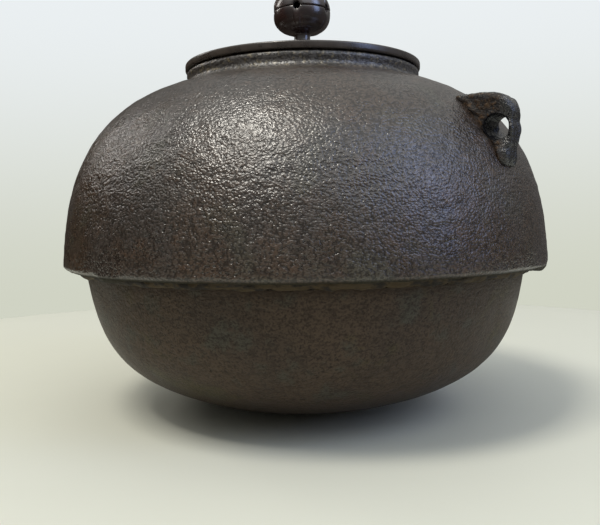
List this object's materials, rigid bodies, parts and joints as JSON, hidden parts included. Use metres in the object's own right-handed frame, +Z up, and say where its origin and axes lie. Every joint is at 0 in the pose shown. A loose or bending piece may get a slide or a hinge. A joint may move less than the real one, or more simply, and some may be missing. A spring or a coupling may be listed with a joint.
{
  "type": "tea ceremony kettle",
  "caption": "Round wide-shouldered cast iron water kettle with a seam, side lugs with holes for lifting rings, and a flat bronze lid with a pierced ball knob.",
  "frame": {"origin": "centre of the foot, on the surface that the kettle stands on", "axes": "+Z up along the axis of the kettle; the ring lugs stand on +X and -X"},
  "size_m": [0.246, 0.246, 0.217],
  "materials": {
    "cast_skin": "wrinkled, pitted cast skin, browned with age, semi-matte",
    "bowl_skin": "finer cast skin, dark brown with an olive cast, satin",
    "lug_iron": "rough, lumpy casting with ochre rust on the flat faces",
    "putty": "matt dark lacquer and iron powder putty",
    "lid_bronze": "satin dark brown patinated bronze",
    "knob_bronze": "polished red-brown patinated bronze",
    "lacquer": "glossy black lacquer",
    "plate_iron": "flat scale-covered iron"
  },
  "bodies": {
    "kettle": {"upper_body": "cast_skin", "ring_lug_right": "lug_iron", "ring_lug_left": "lug_iron", "lower_bowl": "bowl_skin", "joint_putty": "putty", "lacquer_bed_1": "lacquer", "lacquer_bed_2": "lacquer", "lacquer_bed_3": "lacquer", "sound_plate_1": "plate_iron", "sound_plate_2": "plate_iron", "sound_plate_3": "plate_iron"},
    "lid": {"lid_plate": "lid_bronze", "knob_washer": "knob_bronze", "under_washer": "lid_bronze"},
    "knob": {"knob_lower": "knob_bronze", "knob_upper": "knob_bronze", "knob_stem": "knob_bronze"}
  },
  "joints": [
    {"name": "lid_lift", "type": "slide", "parent": "kettle", "child": "lid", "axis": [0, 0, 1], "range_m": [0, 0.1]},
    {"name": "knob_turn", "type": "hinge", "parent": "lid", "child": "knob", "pos_m": [0, 0, 0.1859], "axis": [0, 0, 1], "continuous": true}
  ]
}
